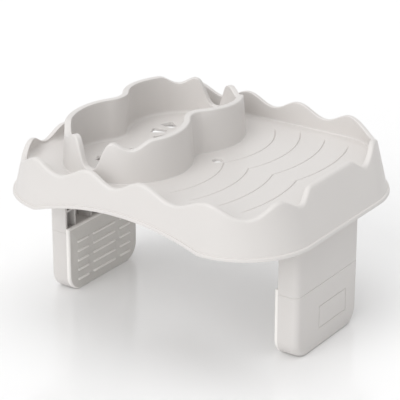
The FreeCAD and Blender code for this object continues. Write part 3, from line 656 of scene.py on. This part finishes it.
def rounded_box_loop(low_x, high_x, half_y, corner_out, corner_in):
    """Loop of a leg socket: its corners away from the middle of the tray are rounder."""
    loop = []
    outer_first = ((high_x, half_y, corner_out, 0), (low_x, half_y, corner_in, 1))
    outer_last = ((low_x, -half_y, corner_in, 2), (high_x, -half_y, corner_out, 3))
    for x, y, corner, start in outer_first + outer_last:
        centre_x = x - math.copysign(corner, x - (low_x + high_x) / 2)
        centre_y = y - math.copysign(corner, y)
        for step in range(7):
            angle = math.pi / 2 * (start + step / 6)
            loop.append((centre_x + corner * math.cos(angle), centre_y + corner * math.sin(angle)))
    return loop


def add_underside(shell):
    """Ribs under the deck, and the collar and the screw bosses of each leg socket."""
    reach = SOCKET_INNER_X[0] - SOCKET_WALL / 2
    top = DECK_UNDER_Z + SINK
    for row in RIB_ROWS_Y:
        for y in (row, -row):
            low = y - RIB_THICK / 2
            high = y + RIB_THICK / 2
            if row < RIB_DRAIN_CLEAR:
                gaps = [math.sqrt(RIB_DRAIN_CLEAR ** 2 - side ** 2) for side in (low, high)]
                starts = [(-reach, -reach), [DRAIN_X + gap for gap in gaps]]
                ends = [[DRAIN_X - gap for gap in gaps], (reach, reach)]
            else:
                starts = [(-reach, -reach)]
                ends = [(reach, reach)]
            for start, end in zip(starts, ends):
                loop = [(start[0], low), (end[0], low), (end[1], high), (start[1], high)]
                shell.add_prism(loop, DECK_UNDER_Z - RIB_DEPTH, top)
    low, high = SOCKET_INNER_X
    inner = rounded_box_loop(low, high, SOCKET_HALF_Y, SOCKET_CORNER, SOCKET_INNER_CORNER)
    low -= SOCKET_WALL
    high += SOCKET_WALL
    half_y = SOCKET_HALF_Y + SOCKET_WALL
    outer = rounded_box_loop(low, high, half_y, SOCKET_CORNER + SOCKET_WALL, SOCKET_COLLAR_CORNER)
    for side in (1, -1):
        around = [(side * x, side * y) for x, y in outer]
        within = [(side * x, side * y) for x, y in inner]
        shell.add_ring(around, within, DECK_UNDER_Z - SOCKET_DEPTH, top)
        for y in BOSS_ROWS_Y:
            boss = circle_loop(side * BOSS_X, side * y, BOSS_RADIUS, BOSS_SIDES)
            bore = circle_loop(side * BOSS_X, side * y, BOSS_BORE, BOSS_SIDES)
            shell.add_ring(boss, bore, DECK_UNDER_Z - BOSS_LENGTH, top)


def leg_half_chain(z, inset, outer_x):
    """Leg outline from its inner edge over one rounded corner to its outer face, as pairs of x and y."""
    low = max(LEG_FOOT_ROUND - z, 0)
    half_y = LEG_HALF_Y - LEG_FOOT_ROUND + math.sqrt(LEG_FOOT_ROUND ** 2 - low ** 2) - inset
    corner = LEG_CORNER - inset
    chain = [(LEG_INNER_X, half_y)]
    for angle in [0] + spread(0, math.pi / 2, 12):
        x = outer_x - corner + corner * math.sin(angle)
        chain.append((x, half_y - corner + corner * math.cos(angle)))
    return chain


def leg_ring(z, inset):
    """Leg outline at one height: from one side of its outer face round the inner side to the other."""
    low = max(LEG_SOLE_ROUND - z, 0)
    outer_x = LEG_OUTER_X - LEG_SOLE_ROUND + math.sqrt(LEG_SOLE_ROUND ** 2 - low ** 2) - inset
    chain = leg_half_chain(z, inset, outer_x)
    return [(x, y, z) for x, y in reversed(chain)] + [(x, -y, z) for x, y in chain]


def on_leg(side, points):
    """Points of the leg that stands on the right (side 1), or turned half round for the left (side -1)."""
    return [(side * x, -side * y, z) for x, y, z in points]


def flat_on_leg(side, points):
    return [(side * x, -side * y) for x, y in points]


def panel_loop(inset):
    """Outline of the plain panel, as pairs of y and z."""
    corner = PANEL_CORNER - inset / 2
    loop = []
    for quarter, (sign_y, sign_z) in enumerate(((1, 1), (-1, 1), (-1, -1), (1, -1))):
        for step in range(5):
            angle = math.pi / 2 * (quarter + step / 4)
            y = sign_y * (PANEL_HALF_Y - inset - corner) + corner * math.cos(angle)
            z = sign_z * (PANEL_HALF_Z - inset - corner) + corner * math.sin(angle)
            loop.append((PANEL_Y + y, PANEL_Z + z))
    return loop


def make_lower_leg(side):
    """Lower half of a leg: rounded foot, seam edge, and a grooved outline round the panel."""
    shell = Shell()
    foot = [LEG_FOOT_ROUND * (1 - math.cos(angle)) for angle in [0] + spread(0, math.pi / 2, 24)]
    sole = [z for z in foot if z < LEG_SOLE_ROUND - LEG_ROW_GAP] + [LEG_SOLE_ROUND]
    body = [LEG_SOLE_ROUND] + [z for z in foot if z > LEG_SOLE_ROUND + LEG_ROW_GAP]
    body += [LOWER_LEG_ROW_Z, LEG_SEAM_Z - LEG_SEAM_EASE]
    low_rings = [leg_ring(z, 0) for z in sole]
    high_rings = [leg_ring(z, 0) for z in body]
    shell.add_grid([on_leg(side, ring + ring[:1]) for ring in low_rings], False)
    shell.add_grid([on_leg(side, ring) for ring in high_rings], False)
    top = leg_ring(LEG_SEAM_Z, LEG_SEAM_EASE)
    shell.add_grid([on_leg(side, ring + ring[:1]) for ring in (high_rings[-1], top)], False)
    shell.faces.append(tuple(shell.add_points(on_leg(side, low_rings[0]))))
    shell.faces.append(tuple(shell.add_points(on_leg(side, top))))
    edge = [(ring[0][1], ring[0][2]) for ring in high_rings]
    edge += [(ring[-1][1], ring[-1][2]) for ring in reversed(high_rings)]
    loops = [panel_loop(0), panel_loop(PANEL_LINE)]

    def on_face(y, z, out):
        return on_leg(side, [(LEG_OUTER_X + out, y, z)])[0]

    shell.add_sheet(edge, loops[:1], 0, True, turned=on_face)
    shell.add_sheet(loops[1], [], 0, True, turned=on_face)
    rows = []
    for outer, inner in zip(*loops):
        sides = [(outer, 0), (outer, -PANEL_LINE_DEPTH), (inner, -PANEL_LINE_DEPTH), (inner, 0)]
        rows.append([on_face(y, z, out) for (y, z), out in sides])
    shell.add_grid(rows, True)
    return shell.build(("right" if side > 0 else "left") + "_lower_leg_moulding")


def add_box(shell, side, low, high):
    """Closed block of a leg between two corners."""
    loop = [(low[0], low[1]), (high[0], low[1]), (high[0], high[1]), (low[0], high[1])]
    shell.add_prism(flat_on_leg(side, loop), low[2], high[2])


def make_bracket(side):
    """Upper half of a leg: a box open on the inner side, with upright ribs and one small shelf."""
    shell = Shell()
    inner = leg_half_chain(LEG_SEAM_Z, LEG_WALL, LEG_OUTER_X - LEG_WALL)
    levels = [(LEG_SEAM_Z, LEG_SEAM_EASE), (LEG_SEAM_Z + LEG_SEAM_EASE, 0)]
    levels += [(BRACKET_ROW_Z, 0), (BRACKET_TOP_Z, 0)]
    rows = []
    for z, inset in levels:
        outer = leg_half_chain(z, inset, LEG_OUTER_X - inset)
        loop = outer + [(x, -y) for x, y in reversed(outer)] + [(x, -y) for x, y in inner]
        loop += [(x, y) for x, y in reversed(inner)]
        rows.append(on_leg(side, [(x, y, z) for x, y in loop + loop[:1]]))
    shell.add_grid(rows, False)
    shell.faces.append(tuple(shell.add_points(rows[0][:-1])))
    shell.faces.append(tuple(shell.add_points(rows[-1][:-1])))
    hollow = inner + [(x, -y) for x, y in reversed(inner)]
    plate = flat_on_leg(side, hollow)
    shell.add_prism(plate, LEG_SEAM_Z, LEG_SEAM_Z + BRACKET_PLATE)
    shell.add_prism(plate, BRACKET_TOP_Z - BRACKET_PLATE, BRACKET_TOP_Z)
    start = LEG_INNER_X + BRACKET_RIB_SETBACK
    back = LEG_OUTER_X - 1.5 * LEG_WALL
    for y in BRACKET_RIB_ROWS_Y:
        low = (start, y - BRACKET_RIB / 2, LEG_SEAM_Z + BRACKET_PLATE / 2)
        add_box(shell, side, low, (back, y + BRACKET_RIB / 2, BRACKET_TOP_Z - BRACKET_PLATE / 2))
    low = (start, LEG_WALL - LEG_HALF_Y, BRACKET_SHELF_Z)
    add_box(shell, side, low, (back, BRACKET_RIB_ROWS_Y[0], BRACKET_SHELF_Z + BRACKET_RIB))
    return shell.build(("right" if side > 0 else "left") + "_leg_bracket_moulding")


def make_tray():
    shell = Shell()
    quarter = sum(rim_path_lengths())
    rows = []
    for step in range(RIM_STEPS):
        place = 4 * quarter * step / RIM_STEPS
        rows.append([rim_point(place, z, inset) for inset, z in wall_section(place)])
    shell.add_grid(rows, True)
    stations = holder_stations()
    wall = [holder_section(stations, index) for index in range(len(stations))]
    shell.add_grid(wall, True)
    petals, drain = hole_loops(HOLE_EDGE + EDGING / 2)
    lines, depths = ripple_lines()
    deck_edge = [row[0] for row in rows]
    holder_foot = [row[-1] for row in wall]
    shell.add_sheet(deck_edge, [holder_foot, drain], DECK_Z, True, lines, depths)
    shell.add_sheet([row[0] for row in wall], petals, DECK_Z, True)
    petals_edge, drain_edge = hole_loops(HOLE_EDGE)
    petals_low, drain_low = hole_loops(0)
    shell.add_sheet([row[-1] for row in rows], petals_low + [drain_low], DECK_UNDER_Z, False)
    for loops in zip(petals + [drain], petals_edge + [drain_edge], petals_low + [drain_low]):
        shell.add_grid([hole_section(*points) for points in zip(*loops)], True)
    add_underside(shell)
    return shell.build("tray_moulding")


def nodes_of(material):
    material.use_nodes = True
    tree = material.node_tree
    tree.nodes.clear()
    return tree.nodes, tree.links


def moulded(name, colour, roughness, grain_scale, grain_depth, clouding):
    """Moulded plastic or rubber: fine grain, faint flow clouding and slightly uneven gloss."""
    material = bpy.data.materials.new(name)
    nodes, links = nodes_of(material)
    place = nodes.new("ShaderNodeTexCoord")
    flow = nodes.new("ShaderNodeTexNoise")
    flow.inputs["Scale"].default_value = 9.0
    flow.inputs["Detail"].default_value = 5.0
    flow.inputs["Roughness"].default_value = 0.6
    tint = nodes.new("ShaderNodeValToRGB")
    tint.color_ramp.elements[0].position = 0.3
    tint.color_ramp.elements[1].position = 0.7
    tint.color_ramp.elements[0].color = [c * (1 - clouding) for c in colour] + [1]
    tint.color_ramp.elements[1].color = [min(c * (1 + clouding), 1) for c in colour] + [1]
    gloss = nodes.new("ShaderNodeMapRange")
    gloss.inputs["From Min"].default_value = 0.3
    gloss.inputs["From Max"].default_value = 0.7
    gloss.inputs["To Min"].default_value = roughness - 0.04
    gloss.inputs["To Max"].default_value = roughness + 0.05
    grain = nodes.new("ShaderNodeTexNoise")
    grain.inputs["Scale"].default_value = grain_scale
    grain.inputs["Detail"].default_value = 3.0
    bump = nodes.new("ShaderNodeBump")
    bump.inputs["Strength"].default_value = 0.35
    bump.inputs["Distance"].default_value = grain_depth
    shader = nodes.new("ShaderNodeBsdfPrincipled")
    out = nodes.new("ShaderNodeOutputMaterial")
    links.new(place.outputs["Object"], flow.inputs["Vector"])
    links.new(place.outputs["Object"], grain.inputs["Vector"])
    links.new(flow.outputs["Fac"], tint.inputs["Fac"])
    links.new(flow.outputs["Fac"], gloss.inputs["Value"])
    links.new(grain.outputs["Fac"], bump.inputs["Height"])
    links.new(tint.outputs["Color"], shader.inputs["Base Color"])
    links.new(gloss.outputs["Result"], shader.inputs["Roughness"])
    links.new(bump.outputs["Normal"], shader.inputs["Normal"])
    links.new(shader.outputs["BSDF"], out.inputs["Surface"])
    return material


def steel(name):
    """Stainless screw steel with fine turning marks."""
    material = bpy.data.materials.new(name)
    nodes, links = nodes_of(material)
    place = nodes.new("ShaderNodeTexCoord")
    marks = nodes.new("ShaderNodeTexNoise")
    marks.inputs["Scale"].default_value = 2500.0
    gloss = nodes.new("ShaderNodeMapRange")
    gloss.inputs["To Min"].default_value = 0.22
    gloss.inputs["To Max"].default_value = 0.4
    shader = nodes.new("ShaderNodeBsdfPrincipled")
    shader.inputs["Base Color"].default_value = (0.62, 0.62, 0.63, 1)
    shader.inputs["Metallic"].default_value = 1.0
    out = nodes.new("ShaderNodeOutputMaterial")
    links.new(place.outputs["Object"], marks.inputs["Vector"])
    links.new(marks.outputs["Fac"], gloss.inputs["Value"])
    links.new(gloss.outputs["Result"], shader.inputs["Roughness"])
    links.new(shader.outputs["BSDF"], out.inputs["Surface"])
    return material


def white_floor(name):
    """White studio floor with a faint sheen."""
    material = bpy.data.materials.new(name)
    nodes, links = nodes_of(material)
    place = nodes.new("ShaderNodeTexCoord")
    dust = nodes.new("ShaderNodeTexNoise")
    dust.inputs["Scale"].default_value = 3.0
    tone = nodes.new("ShaderNodeValToRGB")
    tone.color_ramp.elements[0].color = (0.95, 0.95, 0.95, 1)
    tone.color_ramp.elements[1].color = (0.97, 0.97, 0.97, 1)
    paint = nodes.new("ShaderNodeBsdfPrincipled")
    paint.inputs["Roughness"].default_value = 0.14
    out = nodes.new("ShaderNodeOutputMaterial")
    links.new(place.outputs["Object"], dust.inputs["Vector"])
    links.new(dust.outputs["Fac"], tone.inputs["Fac"])
    links.new(tone.outputs["Color"], paint.inputs["Base Color"])
    links.new(paint.outputs["BSDF"], out.inputs["Surface"])
    return material


def white_world():
    """Plain white surroundings: full white for the camera and in reflections, softer as a light."""
    world = bpy.data.worlds.new("studio")
    bpy.context.scene.world = world
    nodes, links = nodes_of(world)
    ray = nodes.new("ShaderNodeLightPath")
    light = nodes.new("ShaderNodeBackground")
    light.inputs["Color"].default_value = (1, 1, 1, 1)
    light.inputs["Strength"].default_value = WORLD_LIGHT
    seen = nodes.new("ShaderNodeBackground")
    seen.inputs["Color"].default_value = (1, 1, 1, 1)
    seen.inputs["Strength"].default_value = 1.0
    shown = nodes.new("ShaderNodeMath")
    shown.operation = "MAXIMUM"
    mix = nodes.new("ShaderNodeMixShader")
    out = nodes.new("ShaderNodeOutputWorld")
    links.new(ray.outputs["Is Camera Ray"], shown.inputs[0])
    links.new(ray.outputs["Is Glossy Ray"], shown.inputs[1])
    links.new(shown.outputs["Value"], mix.inputs["Fac"])
    links.new(light.outputs["Background"], mix.inputs[1])
    links.new(seen.outputs["Background"], mix.inputs[2])
    links.new(mix.outputs["Shader"], out.inputs["Surface"])


def soft_sun(name, towards, power, spread_degrees):
    """Broad light from far away; towards points from the object to the light."""
    data = bpy.data.lights.new(name, "SUN")
    data.energy = power
    data.angle = math.radians(spread_degrees)
    lamp = bpy.data.objects.new(name, data)
    lamp.rotation_euler = Vector(towards).to_track_quat("Z", "Y").to_euler()
    bpy.context.scene.collection.objects.link(lamp)


def dress(piece, material):
    piece.data.materials.clear()
    piece.data.materials.append(material)


def smooth(piece, angle):
    """Smooth shading everywhere except across edges sharper than an angle."""
    piece.data.shade_smooth()
    piece.data.set_sharp_from_angle(angle=math.radians(angle))


def softened(node, width):
    """Own copy of a moulded node with its edges rounded off, in the node's place."""
    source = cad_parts[node]
    piece = bpy.data.objects.new(node + "_moulding", source.data.copy())
    bpy.context.scene.collection.objects.link(piece)
    work = bmesh.new()
    work.from_mesh(piece.data)
    bmesh.ops.remove_doubles(work, verts=work.verts, dist=1e-6)
    flat = math.radians(FLAT_ANGLE)
    bmesh.ops.dissolve_limit(work, angle_limit=flat, verts=work.verts, edges=work.edges)
    edges = []
    for edge in work.edges:
        if len(edge.link_faces) == 2 and edge.calc_face_angle() > math.radians(SHARP_ANGLE):
            edges.append(edge)
    bmesh.ops.bevel(work, geom=edges, offset=width, offset_type="OFFSET", segments=2, profile=0.5,
                    affect="EDGES", clamp_overlap=True)
    work.to_mesh(piece.data)
    work.free()
    smooth(piece, SMOOTH_ANGLE)
    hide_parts(node)
    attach(piece, "root")
    return piece


# Colours and strength of the light from all round
PLASTIC = (0.69, 0.666, 0.647)
# The pads' raised bars and edges are painted lighter than the face between the bars, as a painted
# highlight; that face keeps the pad's own tone
PAD_BAR_PAINTED_HIGHLIGHT = (0.90, 0.875, 0.85)
GRIP = (0.70, 0.68, 0.65)
WORLD_LIGHT = 0.58

tray_plastic = moulded("tray_plastic", PLASTIC, roughness=0.40,
                       grain_scale=1400.0, grain_depth=0.00006, clouding=0.012)
leg_plastic = moulded("leg_plastic", PLASTIC, roughness=0.42,
                      grain_scale=1400.0, grain_depth=0.00008, clouding=0.012)
pad_rubber = moulded("pad_rubber", PAD_BAR_PAINTED_HIGHLIGHT, roughness=0.5,
                     grain_scale=1900.0, grain_depth=0.0001, clouding=0.02)
pad_grip = moulded("pad_grip", GRIP, roughness=0.7,
                   grain_scale=900.0, grain_depth=0.0004, clouding=0.04)
screw_steel = steel("screw_steel")

tray = make_tray()
dress(tray, tray_plastic)
smooth(tray, TRAY_SMOOTH_ANGLE)
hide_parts("tray")
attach(tray, "root")

# Screws keep their solids; pads are rounded copies with a rougher face between the bars. The rest of each
# pad, its raised bars included, takes a lighter colour than that face: a painted highlight on the bars
for node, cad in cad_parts.items():
    if "screw" in node:
        dress(cad, screw_steel)
        smooth(cad, SMOOTH_ANGLE)
    elif "pad" in node:
        piece = softened(node, PAD_EDGE_ROUND * MM)
        dress(piece, pad_rubber)
        piece.data.materials.append(pad_grip)
        for face in piece.data.polygons:
            if abs(abs(face.center.x) - PAD_FACE_X * MM) < PAD_FACE_SLACK * MM:
                face.material_index = 1

for side, word in ((1, "right"), (-1, "left")):
    for part, piece in (("lower_leg", make_lower_leg(side)), ("leg_bracket", make_bracket(side))):
        dress(piece, leg_plastic)
        smooth(piece, SMOOTH_ANGLE)
        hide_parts(word + "_" + part)
        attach(piece, "root")

# Floor, light and camera
FLOOR_HALF = 4.0
# The photograph's camera, in metres, solved from the object's own symmetry
CAMERA_PLACE = (1.20847, -1.77353, 1.03876)
CAMERA_RIGHT = (0.82598, 0.56371, 0)
CAMERA_UP = (-0.21737, 0.31851, 0.92266)
CAMERA_BACK = (0.52011, -0.76209, 0.38562)
CAMERA_SENSOR = 36.0
CAMERA_LENS = 168.57
CAMERA_CLIP_END = 50.0

floor_mesh = bpy.data.meshes.new("floor")
corners = [(-FLOOR_HALF, -FLOOR_HALF, 0), (FLOOR_HALF, -FLOOR_HALF, 0), (FLOOR_HALF, FLOOR_HALF, 0)]
corners.append((-FLOOR_HALF, FLOOR_HALF, 0))
floor_mesh.from_pydata(corners, [], [(0, 1, 2, 3)])
floor = bpy.data.objects.new("floor", floor_mesh)
bpy.context.scene.collection.objects.link(floor)
dress(floor, white_floor("floor_white"))

white_world()
soft_sun("key", towards=(-0.06, -0.84, 0.54), power=1.1, spread_degrees=50)
soft_sun("fill", towards=(0.12, -0.98, 0.12), power=0.3, spread_degrees=60)
soft_sun("top", towards=(0.0, 0.0, 1.0), power=0.85, spread_degrees=60)

camera_data = bpy.data.cameras.new("camera")
camera_data.sensor_width = CAMERA_SENSOR
camera_data.lens = CAMERA_LENS
camera_data.clip_end = CAMERA_CLIP_END
camera = bpy.data.objects.new("camera", camera_data)
turn = Matrix((CAMERA_RIGHT, CAMERA_UP, CAMERA_BACK)).transposed().to_4x4()
camera.matrix_world = Matrix.Translation(CAMERA_PLACE) @ turn
bpy.context.scene.collection.objects.link(camera)
bpy.context.scene.camera = camera
bpy.context.scene.view_settings.view_transform = "Standard"
